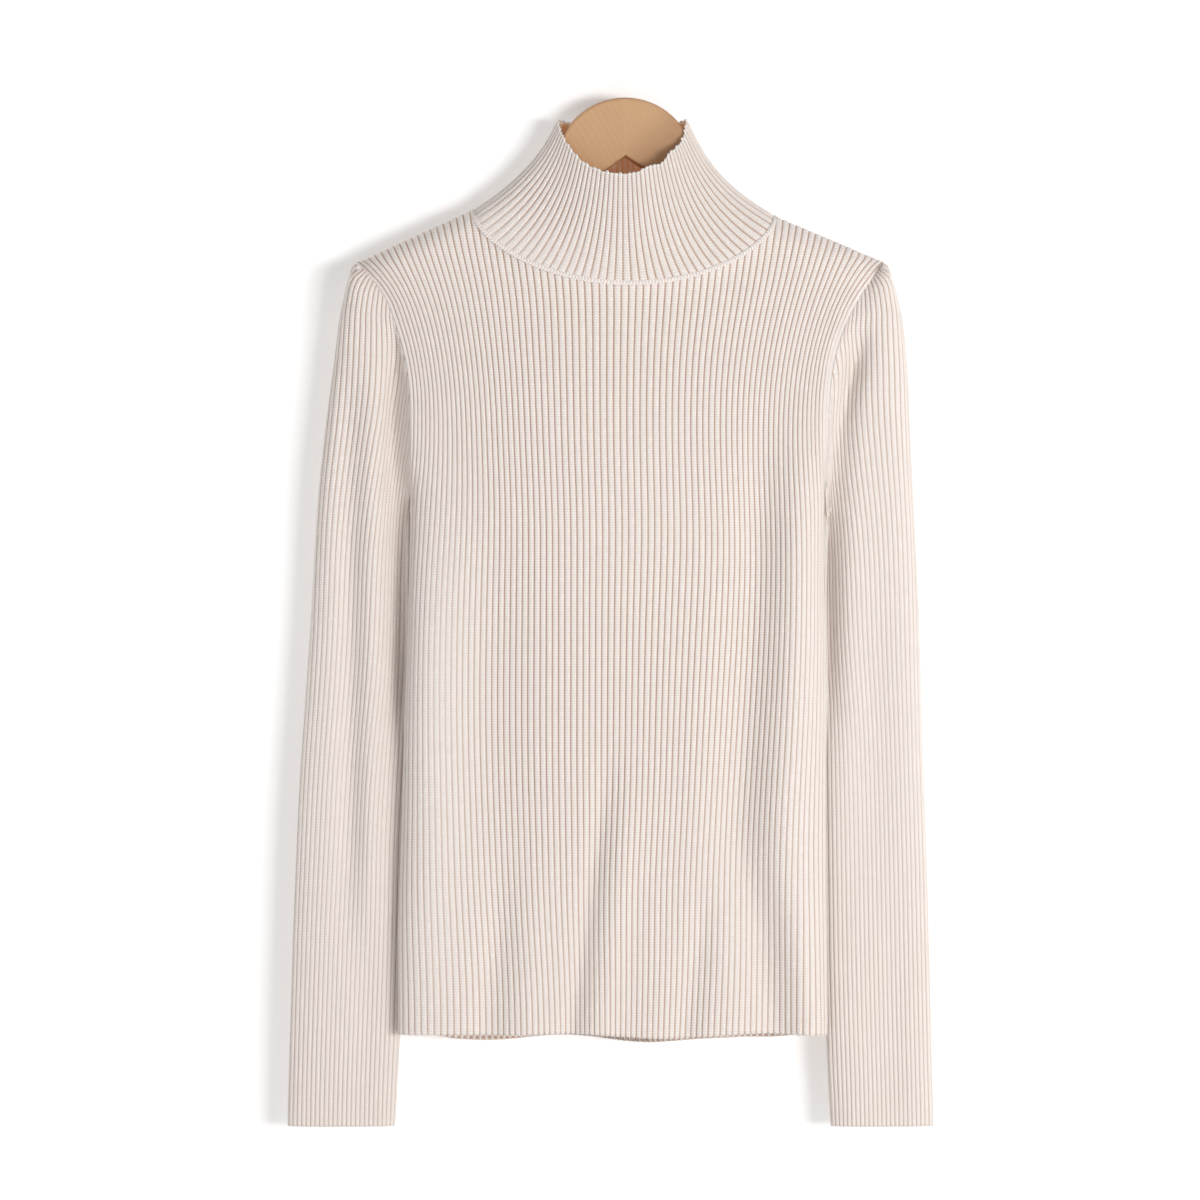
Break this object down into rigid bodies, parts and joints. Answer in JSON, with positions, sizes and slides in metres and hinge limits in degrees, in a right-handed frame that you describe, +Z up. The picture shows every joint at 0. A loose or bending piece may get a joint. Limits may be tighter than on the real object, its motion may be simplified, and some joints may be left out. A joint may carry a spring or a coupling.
{
  "type": "rib-knit mock neck sweater on a wooden hanger",
  "caption": "Long-sleeved rib-knit sweater with a mock neck, hanging flat on a two-part wooden hanger, open at neck, cuffs and hem.",
  "frame": {"origin": "crown of the hanger's domed head, where the hanger is held up", "axes": "+Z up, out of the hanger's crown; -Y out of the garment's front; +X to the right as seen from the front"},
  "size_m": [0.4478, 0.0523, 0.71],
  "materials": {
    "knit": "matt fine-gauge rib knit, cream",
    "wood": "satin, pale beech"
  },
  "bodies": {
    "root": {"front": "knit", "back": "knit", "sleeve_left": "knit", "sleeve_right": "knit", "collar": "knit", "hanger_half_left": "wood", "hanger_half_right": "wood"}
  },
  "joints": []
}
